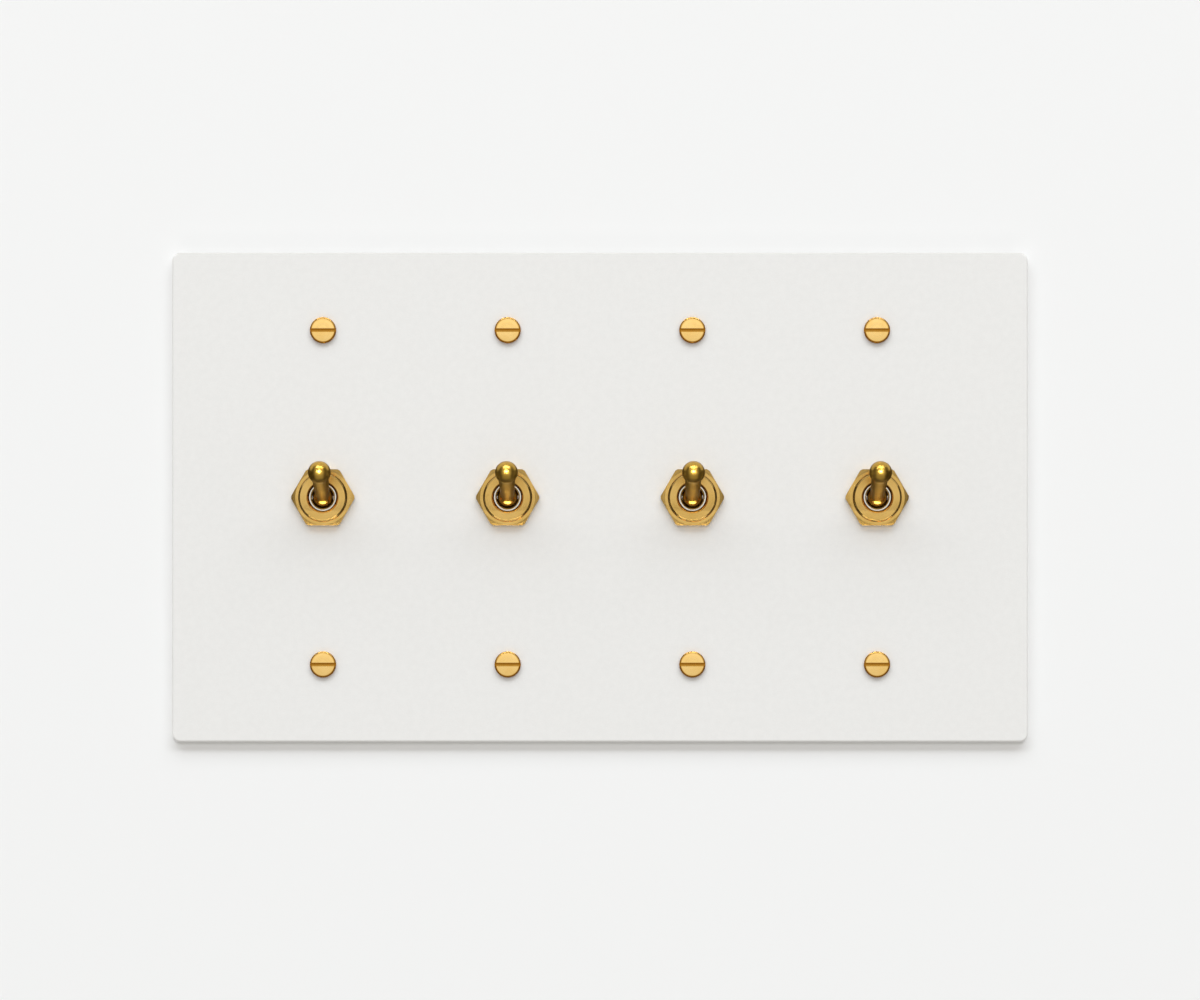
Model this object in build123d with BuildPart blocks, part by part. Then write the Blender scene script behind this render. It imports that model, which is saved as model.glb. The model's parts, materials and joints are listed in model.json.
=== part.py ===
from build123d import *
from math import cos, radians, sin, sqrt, tan
import os

# Four-gang wall switch plate with four ball-tipped toggle switches.
# Millimetres. The wall plane is y = 0, the front looks along -Y, X is right and Z is up.
# The origin is the centre of the plate's back face.

# Face plate
gangs = 4
gang_pitch = 46.04
box_screw_spacing = 83.34
plate_width = 213.4
plate_height = 122.0
plate_thickness = 3.0
plate_corner_radius = 2.0
plate_front_round = 0.5
plate_back_chamfer = 0.3

# Slotted screws that hold the plate to the wall box
box_screw_dia = 3.5
box_screw_length = 25.0
box_screw_shank_dia = 3.0
box_screw_shank_past_plate = 0.3
box_screw_head_dia = 6.55
box_screw_head_height = 1.3
box_screw_head_dome = 0.12
box_screw_head_round = 0.3
box_screw_slot_width = 0.9
box_screw_slot_depth = 0.75
screw_tip_chamfer = 0.4
screw_hole_clearance = 0.25

# Threaded bushing that clamps a switch in the plate
bushing_dia = 11.9
bushing_length = 11.9
bushing_stand_out = 1.4
bushing_mouth_dia = 7.4
bushing_top_chamfer = 0.36
bushing_mouth_chamfer = 0.12
bushing_hole_clearance = 0.2
socket_clearance = 0.15
socket_length = 2.2
tail_bore_gap = 0.08
spigot_wall = 0.6
stake_width = 0.5
stake_height = 0.4

# Hexagon nuts and lock washers on the bushing
nut_across_flats = 14.0
nut_thickness = 2.0
nut_corner_cut = 0.2
nut_face_chamfer = 0.3
nut_mouth_chamfer = 0.12
thread_clearance = 0.05
washer_dia = 16.4
washer_thickness = 0.6
washer_clearance = 0.2
washer_teeth = 12
washer_tooth_depth = 1.1
washer_tooth_gap = 1.0

# Ring in the bushing's mouth, round the lever's pivot ball
seat_ring_bore = 5.6
seat_ring_thickness = 0.8
seat_ring_depth = 1.0
seat_ring_round = 0.35
seat_ring_clearance = 0.05

# Toggle lever
lever_tilt = 18.0
lever_length = 19.8
tip_ball_dia = 5.6
neck_tip_dia = 4.2
neck_base_dia = 3.5
neck_blend = 0.4
pivot_ball_dia = 5.2
pivot_depth = 2.6
tail_length = 14.0
tail_base_dia = 2.8
tail_end_dia = 1.9
tail_ball_dia = 3.0
pivot_pin_dia = 1.5
pivot_pin_clearance = 0.04
pivot_pin_inset = 0.75

# Steel frame and moulded housing
frame_thickness = 1.0
frame_ear_width = 10.0
frame_ear_reach = 9.5
frame_fit = 0.1
housing_width = 17.0
housing_height = 28.6
housing_wall = 1.6
housing_floor = 4.0
housing_corner = 1.0
housing_rear_chamfer = 0.6
lip_grip = 0.7

# Insulator and sliding contact carrier
insulator_thickness = 0.6
insulator_clearance = 0.1
insulator_slot_gap = 0.24
insulator_slot_side = 0.8
slide_clearance = 0.12
slider_leg = 1.0
slider_web = 0.8
slot_clearance = 0.1
slot_flare = 30.0
slot_straight = 0.5
leaf_room = 2.2
leaf_thickness = 0.3
leaf_width = 4.0
bridge_width = 5.0
bridge_thickness = 0.8
bridge_bend = 0.6
contact_gap = 0.02
leg_overlap = 0.5

# Terminals at the back
terminal_end_gap = 0.2
terminal_air_gap = 1.0
strip_width = 5.8
strip_thickness = 0.8
strip_fit = 0.2
strip_reach = 3.2
strip_web_x = 4.6
barrier_thickness = 1.4
barrier_height = 2.6
barrier_corner = 0.5
terminal_screw_dia = 3.3
terminal_screw_length = 3.2
terminal_head_dia = 5.4
terminal_head_height = 1.6
terminal_head_round = 0.4
terminal_slot_width = 0.9
terminal_slot_depth = 0.8
terminal_hole_clearance = 0.1

# Places along Y, from the mouth of the bushing back to the terminals
plate_front_y = -plate_thickness
nut_front_y = plate_front_y - nut_thickness
mouth_y = nut_front_y - bushing_stand_out
pivot_y = mouth_y + pivot_depth
ring_front_y = mouth_y + seat_ring_depth
ring_back_y = ring_front_y + seat_ring_thickness
socket_back_y = ring_back_y + socket_length
back_nut_y = washer_thickness
frame_y = mouth_y + bushing_length
housing_y = frame_y + frame_thickness
insulator_y = housing_y + stake_height
insulator_back_y = insulator_y + insulator_thickness
slider_y = insulator_back_y + slide_clearance
slot_floor_y = pivot_y + tail_length + tail_ball_dia / 2 + slot_clearance
slider_back_y = slot_floor_y + slider_web
bridge_y = slider_back_y + leaf_room
contact_y = bridge_y + bridge_thickness + contact_gap
floor_y = contact_y + strip_thickness
rear_y = floor_y + housing_floor
terminal_head_y = rear_y + strip_thickness

# Sizes that follow from the ones above
cavity_width = housing_width - 2 * housing_wall
cavity_height = housing_height - 2 * housing_wall
socket_dia = pivot_ball_dia + 2 * socket_clearance
nut_bore = bushing_dia + 2 * thread_clearance
tilt = radians(lever_tilt)
tail_travel = tail_length * sin(tilt)
tail_bore_dia = 2 * ((insulator_y - pivot_y) * tan(tilt) + tail_bore_gap) + (
    tail_base_dia + tail_end_dia
) / (2 * cos(tilt))
spigot_dia = tail_bore_dia + 2 * spigot_wall
insulator_slot_width = tail_base_dia + 2 * insulator_slot_side
insulator_slot_length = (
    2 * (insulator_back_y - pivot_y) * tan(tilt) + tail_base_dia / cos(tilt) + 2 * insulator_slot_gap
)
terminal_pitch = (cavity_height - strip_width) / 2 - terminal_end_gap
bridge_length = 2 * (terminal_pitch - terminal_air_gap) - strip_width
slider_length = bridge_length + 2 * (slide_clearance + slider_leg)
lip_y = frame_y + frame_ear_reach
gang_x = [gang_pitch * (gang - (gangs - 1) / 2) for gang in range(gangs)]

# The plane through the lever's own axis: local x is X, local y runs from the pivot to the tip.
pivot_point = (0, pivot_y, 0)
lever_plane = Plane(origin=pivot_point, x_dir=(1, 0, 0), z_dir=(0, -sin(tilt), -cos(tilt)))
lever_axis = Axis(pivot_point, (0, -cos(tilt), sin(tilt)))


def chord(radius, half_width):
    """Distance from a ball's centre to where a round bar of this half width leaves it."""
    return sqrt(radius**2 - half_width**2)


def save(part, name):
    part.label = name
    export_step(part, f"parts/{name}.step")


def save_per_gang(part, name):
    """One copy of a switch's piece in each gang, in a file of its own."""
    for number, x in enumerate(gang_x, start=1):
        save(part.moved(Location((x, 0, 0))), f"{name}_{number}")


os.makedirs("parts", exist_ok=True)

# Face plate: a rounded blank, drilled for the box screws and the bushings
with BuildPart() as face_plate:
    with BuildSketch(Plane.XZ):
        RectangleRounded(plate_width, plate_height, plate_corner_radius)
    extrude(amount=plate_thickness)
    fillet(face_plate.faces().sort_by(Axis.Y)[0].edges(), plate_front_round)
    chamfer(face_plate.faces().sort_by(Axis.Y)[-1].edges(), plate_back_chamfer)
    with BuildSketch(Plane.XZ):
        with GridLocations(gang_pitch, box_screw_spacing, gangs, 2):
            Circle(box_screw_dia / 2 + screw_hole_clearance)
        with GridLocations(gang_pitch, box_screw_spacing, gangs, 1):
            Circle(bushing_dia / 2 + bushing_hole_clearance)
    extrude(amount=plate_thickness, mode=Mode.SUBTRACT)
save(face_plate.part, "face_plate")

# Box screw: a slightly domed cheese head with a rounded rim and one slot across it, a plain shank that
# passes through the plate, and a rolled thread, wider than the shank, behind it
head_front_y = plate_front_y - box_screw_head_height
head_dome_radius = ((box_screw_head_dia / 2) ** 2 + box_screw_head_dome**2) / (2 * box_screw_head_dome)
with BuildPart() as box_screw:
    with BuildSketch(Plane.XZ.offset(plate_thickness)):
        Circle(box_screw_head_dia / 2)
    extrude(amount=box_screw_head_height)
    with Locations((0, head_front_y + head_dome_radius, 0)):
        Sphere(head_dome_radius, mode=Mode.INTERSECT)
    fillet(box_screw.edges().filter_by(GeomType.CIRCLE).sort_by(Axis.Y)[0], box_screw_head_round)
    with BuildSketch(Plane.XZ.offset(plate_thickness)):
        Circle(box_screw_shank_dia / 2)
    extrude(amount=-plate_thickness - box_screw_shank_past_plate)
    with BuildSketch(Plane.XZ.offset(-box_screw_shank_past_plate)):
        Circle(box_screw_dia / 2)
    extrude(amount=plate_thickness + box_screw_shank_past_plate - box_screw_length)
    chamfer(box_screw.faces().sort_by(Axis.Y)[-1].edges(), screw_tip_chamfer)
    with BuildSketch(Plane.XZ.offset(plate_thickness + box_screw_head_height)):
        Rectangle(2 * box_screw_head_dia, box_screw_slot_width)
    extrude(amount=-box_screw_slot_depth, mode=Mode.SUBTRACT)

with BuildPart() as box_screws:
    with Locations(*[(x, 0, z) for x in gang_x for z in (-box_screw_spacing / 2, box_screw_spacing / 2)]):
        add(box_screw.part)
save(box_screws.part, "box_screws")


def hexagon_nut(front_y):
    """A hexagon with its corners turned off at both faces, and a countersunk bore."""
    corner = nut_across_flats / sqrt(3) - nut_corner_cut
    flat = nut_across_flats / 2
    back_y = front_y + nut_thickness
    mouth = nut_bore / 2 + nut_mouth_chamfer
    with BuildPart() as nut:
        with BuildSketch(Plane.XZ.offset(-front_y)):
            RegularPolygon(flat, 6, major_radius=False)
        extrude(amount=-nut_thickness)
        with BuildSketch(Plane.XY):
            with BuildLine():
                Polyline(
                    (nut_bore / 2, front_y + nut_mouth_chamfer),
                    (mouth, front_y),
                    (flat - nut_face_chamfer / 2, front_y),
                    (corner, front_y + nut_face_chamfer),
                    (corner, back_y - nut_face_chamfer),
                    (flat - nut_face_chamfer / 2, back_y),
                    (mouth, back_y),
                    (nut_bore / 2, back_y - nut_mouth_chamfer),
                    close=True,
                )
            make_face()
        revolve(axis=Axis.Y, mode=Mode.INTERSECT)
    return nut.part


with BuildPart() as lock_nuts:
    with Locations(*[(x, 0, 0) for x in gang_x]):
        add(hexagon_nut(nut_front_y))
save(lock_nuts.part, "lock_nuts")

with BuildPart() as back_nuts:
    with Locations(*[(x, 0, 0) for x in gang_x]):
        add(hexagon_nut(back_nut_y))
save(back_nuts.part, "back_nuts")

# Lock washer: a flat ring whose bore is cut into teeth
with BuildPart() as lock_washer:
    with BuildSketch(Plane.XZ):
        Circle(washer_dia / 2)
        Circle(bushing_dia / 2 + washer_clearance, mode=Mode.SUBTRACT)
        with PolarLocations(bushing_dia / 2 + washer_clearance, washer_teeth):
            Rectangle(2 * washer_tooth_depth, washer_tooth_gap, mode=Mode.SUBTRACT)
    extrude(amount=-washer_thickness)

with BuildPart() as lock_washers:
    with Locations(*[(x, 0, 0) for x in gang_x]):
        add(lock_washer.part)
save(lock_washers.part, "lock_washers")

# Bushing: thread, mouth for the ring, socket for the ball, flared bore for the tail, and a staked spigot
with BuildPart() as bushing:
    with BuildSketch(Plane.XY):
        with BuildLine():
            Polyline(
                (bushing_mouth_dia / 2, mouth_y + bushing_mouth_chamfer),
                (bushing_mouth_dia / 2 + bushing_mouth_chamfer, mouth_y),
                (bushing_dia / 2 - bushing_top_chamfer, mouth_y),
                (bushing_dia / 2, mouth_y + bushing_top_chamfer),
                (bushing_dia / 2, frame_y),
                (spigot_dia / 2, frame_y),
                (spigot_dia / 2, housing_y),
                (spigot_dia / 2 + stake_width, housing_y),
                (spigot_dia / 2, insulator_y),
                (tail_bore_dia / 2, insulator_y),
                (socket_dia / 2, socket_back_y),
                (socket_dia / 2, ring_back_y),
                (bushing_mouth_dia / 2, ring_back_y),
                close=True,
            )
        make_face()
    revolve(axis=Axis.Y)
    with BuildSketch(Plane.YZ):
        with Locations((pivot_y, 0)):
            Circle(pivot_pin_dia / 2)
    extrude(amount=bushing_dia, both=True, mode=Mode.SUBTRACT)
save_per_gang(bushing.part, "bushing")

# Ring pressed into the bushing's mouth, with a rounded front
with BuildPart() as seat_ring:
    with BuildSketch(Plane.XY):
        with BuildLine():
            Polyline(
                (seat_ring_bore / 2, ring_front_y),
                (bushing_mouth_dia / 2 - seat_ring_clearance, ring_front_y),
                (bushing_mouth_dia / 2 - seat_ring_clearance, ring_back_y),
                (seat_ring_bore / 2, ring_back_y),
                close=True,
            )
        make_face()
    revolve(axis=Axis.Y)
    fillet(seat_ring.faces().sort_by(Axis.Y)[0].edges(), seat_ring_round)
save_per_gang(seat_ring.part, "seat_ring")

# Lever: tip ball, tapered neck, pivot ball, tail and tail ball, turned in one piece and cross-drilled
with BuildPart() as lever:
    tip = tip_ball_dia / 2
    neck_tip = neck_tip_dia / 2
    neck_base = neck_base_dia / 2
    ball = pivot_ball_dia / 2
    tail_base = tail_base_dia / 2
    tail_end = tail_end_dia / 2
    tail_ball = tail_ball_dia / 2
    with BuildSketch(lever_plane):
        with BuildLine() as outline:
            tail_round = ThreePointArc(
                (0, -tail_length - tail_ball),
                (tail_ball, -tail_length),
                (tail_end, chord(tail_ball, tail_end) - tail_length),
            )
            tail_side = Line(tail_round @ 1, (tail_base, -chord(ball, tail_base)))
            ball_round = ThreePointArc(tail_side @ 1, (ball, 0), (neck_base, chord(ball, neck_base)))
            neck_side = Line(ball_round @ 1, (neck_tip, lever_length - chord(tip, neck_tip)))
            tip_round = ThreePointArc(neck_side @ 1, (tip, lever_length), (0, lever_length + tip))
            Line(tip_round @ 1, tail_round @ 0)
        make_face()
        tip_corner = outline.vertices().sort_by_distance((neck_tip, lever_length - chord(tip, neck_tip)))[0]
        fillet(vertices().sort_by_distance(tip_corner)[0], neck_blend)
    revolve(axis=lever_axis)
    with BuildSketch(Plane.YZ):
        with Locations((pivot_y, 0)):
            Circle(pivot_pin_dia / 2 + pivot_pin_clearance)
    extrude(amount=pivot_ball_dia, both=True, mode=Mode.SUBTRACT)
save_per_gang(lever.part, "lever")

# Cross pin that the lever turns on
with BuildPart() as pivot_pin:
    with BuildSketch(Plane.YZ):
        with Locations((pivot_y, 0)):
            Circle(pivot_pin_dia / 2)
    extrude(amount=bushing_dia / 2 - pivot_pin_inset, both=True)
save_per_gang(pivot_pin.part, "pivot_pin")

# Frame: a flat strap under the bushing with two ears bent round the housing and hooked under its ledges
with BuildPart() as frame:
    ear_z = housing_height / 2 + frame_fit + frame_thickness / 2
    middle_y = frame_y + frame_thickness / 2
    hook_y = lip_y + frame_thickness / 2
    with BuildSketch(Plane.XZ.offset(-frame_y)):
        RectangleRounded(housing_width, housing_height, housing_corner)
    extrude(amount=-frame_thickness)
    with BuildSketch(Plane.YZ):
        with BuildLine():
            FilletPolyline(
                (middle_y, 0),
                (middle_y, ear_z),
                (hook_y, ear_z),
                (hook_y, housing_height / 2 - lip_grip),
                radius=frame_fit + frame_thickness / 2,
            )
        trace(line_width=frame_thickness)
    extrude(amount=frame_ear_width / 2, both=True)
    mirror(about=Plane.XY)
    with BuildSketch(Plane.XZ.offset(-frame_y)):
        Circle(spigot_dia / 2)
    extrude(amount=-frame_thickness, mode=Mode.SUBTRACT)
save_per_gang(frame.part, "frame")

# Housing: an open box with a thick floor, ledges for the frame's ears, and barriers between the terminals
terminal_z = {"lower": -terminal_pitch, "common": 0, "upper": terminal_pitch}
with BuildPart() as housing:
    with BuildSketch(Plane.XZ.offset(-housing_y)):
        RectangleRounded(housing_width, housing_height, housing_corner)
    extrude(amount=housing_y - rear_y)
    chamfer(housing.faces().sort_by(Axis.Y)[-1].edges(), housing_rear_chamfer)
    with BuildSketch(Plane.XZ.offset(-housing_y)):
        Rectangle(cavity_width, cavity_height)
    extrude(amount=housing_y - floor_y, mode=Mode.SUBTRACT)
    with BuildSketch(Plane.XZ.offset(-rear_y)):
        with GridLocations(housing_width, terminal_pitch, 1, 2):
            RectangleRounded(housing_width - 2 * housing_rear_chamfer, barrier_thickness, barrier_corner)
    extrude(amount=-barrier_height)
    ledge_depth = lip_grip + frame_fit
    with BuildSketch(Plane.XZ.offset(frame_fit / 2 - lip_y)):
        with GridLocations(housing_width, housing_height, 1, 2):
            Rectangle(frame_ear_width + 2 * frame_fit, 2 * ledge_depth)
    extrude(amount=lip_y - rear_y - frame_fit, mode=Mode.SUBTRACT)
    with BuildSketch(Plane.XZ.offset(-floor_y)):
        with Locations(*[(strip_web_x, z) for z in terminal_z.values()]):
            Rectangle(strip_thickness + 2 * strip_fit, strip_width + 2 * strip_fit)
    extrude(amount=-housing_floor, mode=Mode.SUBTRACT)
    with BuildSketch(Plane.XZ.offset(-rear_y)):
        with Locations(*[(0, z) for z in terminal_z.values()]):
            Circle(terminal_screw_dia / 2 + terminal_hole_clearance)
    extrude(amount=terminal_screw_length, mode=Mode.SUBTRACT)
save_per_gang(housing.part, "housing")

# Insulator: a fibre sheet behind the staked bushing, slotted for the tail
with BuildPart() as insulator:
    with BuildSketch(Plane.XZ.offset(-insulator_y)):
        Rectangle(cavity_width - 2 * insulator_clearance, cavity_height - 2 * insulator_clearance)
        SlotOverall(insulator_slot_length, insulator_slot_width, rotation=90, mode=Mode.SUBTRACT)
    extrude(amount=-insulator_thickness)
save_per_gang(insulator.part, "insulator")

# Contact carrier: a block that the tail ball pushes up and down, with a leg past each end of the bridge
slot_half = tail_ball_dia / 2 + slot_clearance
slot_neck_y = pivot_y + tail_length * cos(tilt) - slot_straight
slot_mouth = slot_half + (slot_neck_y - slider_y) * tan(radians(slot_flare))
with BuildPart() as slider:
    with BuildSketch(Plane.XZ.offset(-slider_y)):
        with Locations((0, -tail_travel)):
            Rectangle(cavity_width - 2 * slide_clearance, slider_length)
    extrude(amount=slider_y - slider_back_y)
    with BuildSketch(Plane.XZ.offset(-slider_back_y)):
        with Locations((0, -tail_travel)):
            with GridLocations(slider_length, slider_length - slider_leg, 1, 2):
                Rectangle(bridge_width, slider_leg)
    extrude(amount=-leaf_room - leg_overlap)
    with BuildSketch(Plane.YZ):
        with BuildLine():
            Polyline(
                (slider_y, -tail_travel - slot_mouth),
                (slot_neck_y, -tail_travel - slot_half),
                (slot_floor_y, -tail_travel - slot_half),
                (slot_floor_y, -tail_travel + slot_half),
                (slot_neck_y, -tail_travel + slot_half),
                (slider_y, -tail_travel + slot_mouth),
                close=True,
            )
        make_face()
    extrude(amount=slot_half, both=True, mode=Mode.SUBTRACT)
save_per_gang(slider.part, "slider")

# Contact bridge: a copper strip whose ends turn up, that joins the common contact to one of the others
with BuildPart() as contact_bridge:
    with BuildSketch(Plane.XZ.offset(-bridge_y)):
        with Locations((0, -tail_travel)):
            Rectangle(bridge_width, bridge_length)
    extrude(amount=-bridge_thickness)
    rims = contact_bridge.faces().sort_by(Axis.Y)[-1].edges().filter_by(Axis.X)
    fillet(rims, bridge_bend)
save_per_gang(contact_bridge.part, "contact_bridge")

# Leaf spring: a bowed strip between the carrier and the bridge
with BuildPart() as contact_spring:
    with BuildSketch(Plane.YZ):
        with BuildLine():
            leaf_end = bridge_length / 2 - bridge_bend
            ThreePointArc(
                (bridge_y - leaf_thickness, -leaf_end - tail_travel),
                (slider_back_y + leaf_thickness / 2, -tail_travel),
                (bridge_y - leaf_thickness, leaf_end - tail_travel),
            )
        trace(line_width=leaf_thickness)
    extrude(amount=leaf_width / 2, both=True)
save_per_gang(contact_spring.part, "contact_spring")


def terminal(z):
    """A brass strip that lies in the housing, goes through its floor and folds over its back."""
    inner_y = contact_y + strip_thickness / 2
    outer_y = rear_y + strip_thickness / 2
    with BuildPart() as strip:
        with BuildSketch(Plane.XY.offset(z)):
            with BuildLine():
                FilletPolyline(
                    (-bridge_width / 2, inner_y),
                    (strip_web_x, inner_y),
                    (strip_web_x, outer_y),
                    (-strip_reach, outer_y),
                    radius=strip_fit + strip_thickness / 2,
                )
            trace(line_width=strip_thickness)
        extrude(amount=strip_width / 2, both=True)
        with BuildSketch(Plane.XZ.offset(-rear_y)):
            with Locations((0, z)):
                Circle(terminal_screw_dia / 2 + terminal_hole_clearance)
        extrude(amount=-strip_thickness, mode=Mode.SUBTRACT)
    return strip.part


for place, z in terminal_z.items():
    save_per_gang(terminal(z), f"{place}_terminal")

# Terminal screw: a binding head with one slot
with BuildPart() as terminal_screw:
    with BuildSketch(Plane.XZ.offset(-terminal_head_y)):
        Circle(terminal_head_dia / 2)
    extrude(amount=-terminal_head_height)
    fillet(terminal_screw.faces().sort_by(Axis.Y)[-1].edges(), terminal_head_round)
    with BuildSketch(Plane.XZ.offset(-terminal_head_y)):
        Circle(terminal_screw_dia / 2)
    extrude(amount=terminal_screw_length)
    with BuildSketch(Plane.XZ.offset(-terminal_head_y - terminal_head_height)):
        Rectangle(2 * terminal_head_dia, terminal_slot_width)
    extrude(amount=terminal_slot_depth, mode=Mode.SUBTRACT)

with BuildPart() as terminal_screws:
    with Locations(*[(x, 0, z) for x in gang_x for z in terminal_z.values()]):
        add(terminal_screw.part)
save(terminal_screws.part, "terminal_screws")
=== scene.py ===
import json
from math import cos, pi, radians, sin

import bmesh
import bpy
import numpy as np
from mathutils import Matrix, Vector


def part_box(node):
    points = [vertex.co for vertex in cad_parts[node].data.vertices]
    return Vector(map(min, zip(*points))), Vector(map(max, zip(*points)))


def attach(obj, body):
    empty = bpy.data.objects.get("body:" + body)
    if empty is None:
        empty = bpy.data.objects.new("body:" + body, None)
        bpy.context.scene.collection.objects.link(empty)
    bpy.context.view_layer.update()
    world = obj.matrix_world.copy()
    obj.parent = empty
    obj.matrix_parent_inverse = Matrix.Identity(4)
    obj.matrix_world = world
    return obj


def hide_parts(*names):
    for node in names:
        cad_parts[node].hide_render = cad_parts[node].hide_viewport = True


# Looks of a four-gang switch plate: white powder-coated steel with satin brass toggles and polished brass screws.
# Metres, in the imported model's own frame: the wall is y = 0, the front looks along -Y and Z is up.
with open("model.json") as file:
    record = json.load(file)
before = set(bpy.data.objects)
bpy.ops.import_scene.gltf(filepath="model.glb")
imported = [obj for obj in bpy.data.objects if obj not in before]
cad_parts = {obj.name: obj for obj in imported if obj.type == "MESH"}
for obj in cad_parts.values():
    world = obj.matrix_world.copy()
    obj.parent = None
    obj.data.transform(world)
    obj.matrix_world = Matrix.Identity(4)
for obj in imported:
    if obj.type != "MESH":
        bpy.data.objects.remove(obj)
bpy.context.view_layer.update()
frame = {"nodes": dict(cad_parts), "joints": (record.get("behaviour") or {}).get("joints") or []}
nodes = frame["nodes"]
mm = 0.001

plateLow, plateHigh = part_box("face_plate")
gangCount = sum(name.startswith("bushing_") for name in nodes)
gangX = [sum(corner.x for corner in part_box(f"bushing_{i + 1}")) / 2 for i in range(gangCount)]
gangPitch = gangX[1] - gangX[0]
screwLow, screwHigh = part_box("box_screws")
screwHead = {"diameter": 6.55 * mm, "height": 1.3 * mm, "round": 0.3 * mm, "dome": 0.12 * mm}
screwZ = [screwLow.z + screwHead["diameter"] / 2, screwHigh.z - screwHead["diameter"] / 2]
leverHinge = frame["joints"][0]
pivotY = leverHinge["pos_m"][1]
leverTilt = radians(leverHinge["range_deg"][1]) / 2
print("frame loaded:", len(nodes), "nodes,", gangCount, "gangs")


def linearColour(text):
    # An sRGB hex colour as linear light, by the standard's two-part curve
    channels = [int(text[i:i + 2], 16) / 255 for i in (1, 3, 5)]
    return [c / 12.92 if c <= 0.04045 else ((c + 0.055) / 1.055) ** 2.4 for c in channels] + [1.0]


def addNode(tree, kind, settings=None, links=None):
    # One node: settings are its own options or the values of its sockets, and links join its sockets to an output, or
    # to the first output of a node
    node = tree.nodes.new("ShaderNode" + kind)
    for key, value in (settings or {}).items():
        if isinstance(key, str) and hasattr(node, key):
            setattr(node, key, value)
        else:
            node.inputs[key].default_value = value
    for key, source in (links or {}).items():
        output = source.outputs[0] if isinstance(source, bpy.types.Node) else source
        tree.links.new(output, node.inputs[key])
    return node


def newTree(name):
    # A material and its node tree, still empty
    material = bpy.data.materials.new(name)
    material.use_nodes = True
    material.node_tree.nodes.clear()
    return material, material.node_tree


def gangPoint(tree, rows=False):
    # A point's place from the axis of the switch or screw that it belongs to, so that one pattern serves them all
    place = addNode(tree, "SeparateXYZ", links={0: addNode(tree, "TexCoord").outputs["Object"]})
    parts = {axis: place.outputs[axis] for axis in "XYZ"}
    repeats = [("X", gangX[0], gangPitch)]
    if rows:
        repeats.append(("Z", screwZ[0], screwZ[1] - screwZ[0]))
    for axis, start, pitch in repeats:
        offset = addNode(tree, "Math", {"operation": "SUBTRACT", 1: start}, {0: parts[axis]})
        parts[axis] = addNode(tree, "Math", {"operation": "WRAP", 1: pitch / 2, 2: -pitch / 2}, {0: offset})
    return addNode(tree, "CombineXYZ", links=parts)


def axisDistance(tree, point):
    # How far a point is from the Y axis
    across = addNode(tree, "VectorMath", {"operation": "MULTIPLY", 1: (1, 0, 1)}, {0: point})
    return addNode(tree, "VectorMath", {"operation": "LENGTH"}, {0: across}).outputs["Value"]


def rampMask(tree, ramps, shape="LINEAR"):
    # The product of ramps over (value, start, end, least, most): each goes from least at its start to most at its end
    mask = None
    for value, start, end, least, most in ramps:
        limits = {"From Min": start, "From Max": end, "To Min": least, "To Max": most}
        ramp = addNode(tree, "MapRange", {"interpolation_type": shape, **limits}, {"Value": value})
        mask = addNode(tree, "Math", {"operation": "MULTIPLY"}, {0: mask, 1: ramp}) if mask else ramp
    return mask


def latheRings(tree, point, spacing):
    # Rings round the Y axis: 2D noise over (distance from the axis, place along it), so faces and sides both get them
    along = addNode(tree, "SeparateXYZ", links={0: point}).outputs["Y"]
    flat = addNode(tree, "CombineXYZ", links={"X": axisDistance(tree, point), "Y": along})
    look = {"noise_dimensions": "2D", "Scale": 1 / spacing, "Detail": 1.5, "Roughness": 0.6}
    return addNode(tree, "TexNoise", look, {"Vector": flat})


def slotPaintedShade(tree, point, look):
    # Two masks of painted shade for the box screws: one for their slots and rims, and one for their rims and the upper
    # part of the slots, which the slot's upper wall would shadow
    place = addNode(tree, "SeparateXYZ", links={0: point}).outputs
    fromMiddle = addNode(tree, "Math", {"operation": "ABSOLUTE"}, {0: place["Z"]})
    headFront, headEdge = screwLow.y, screwHead["diameter"] / 2
    behind, inwards = look["slotBehind"], look["rimInwards"]
    slot = rampMask(tree, [
        (fromMiddle, *look["slotWall"], 0, 1),
        (place["Y"], headFront + behind[0], headFront + behind[1], 0, look["paintedShadeShare"]),
    ])
    upper = rampMask(tree, [(place["Z"], *look["slotUp"], 0, 1)])
    upper = addNode(tree, "Math", {"operation": "MULTIPLY"}, {0: slot, 1: upper})
    rim = rampMask(tree, [
        (axisDistance(tree, point), headEdge - inwards[0], headEdge - inwards[1], 0, look["paintedShadeShare"]),
        (place["Z"], look["rimTop"] * headEdge, look["rimFoot"] * headEdge, look["rimTopShare"], 1),
    ])
    return [addNode(tree, "Math", {"operation": "MAXIMUM"}, {0: part, 1: rim}) for part in (slot, upper)]


def mouthPaintedShade(tree, point, look):
    # A mask for the painted shade round the bushing's mouth, which is fainter at its foot, where light from above falls
    # in
    height = addNode(tree, "SeparateXYZ", links={0: point}).outputs["Z"]
    radius = look["mouthRadius"]
    return [rampMask(tree, [
        (axisDistance(tree, point), radius + look["paintedShadeBlur"], radius, 0, look["paintedShadeShare"]),
        (height, -radius, look["footTop"] * radius, look["footShare"], 1),
    ])]


cloudNoise = {"Detail": 2.0, "Roughness": 0.55}
noiseReach = (0.3, 0.7)  # nearly all of the noise lies between these


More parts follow.
